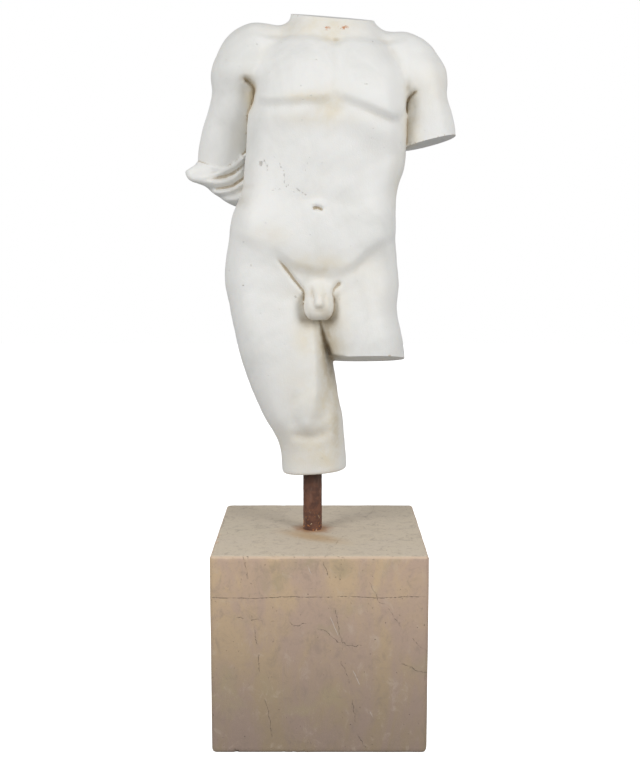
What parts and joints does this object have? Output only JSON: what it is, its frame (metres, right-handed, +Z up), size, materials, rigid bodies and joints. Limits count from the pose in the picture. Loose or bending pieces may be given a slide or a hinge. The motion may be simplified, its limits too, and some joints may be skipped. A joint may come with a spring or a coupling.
{
  "type": "marble torso sculpture",
  "caption": "Life-size fragment of a standing male nude in marble, without head and lower limbs, on an iron rod set in a stone cube plinth.",
  "frame": {"origin": "centre of the plinth's underside", "axes": "+Z up, -Y towards the figure's front, +X towards the figure's left"},
  "size_m": [0.5428, 0.42, 1.4432],
  "materials": {
    "marble": "honed, slightly weathered",
    "rusty_iron": "rusty, matt",
    "block_stone": "honed, matt"
  },
  "bodies": {
    "root": {"torso": "marble", "rod": "rusty_iron", "plinth": "block_stone"}
  },
  "joints": []
}
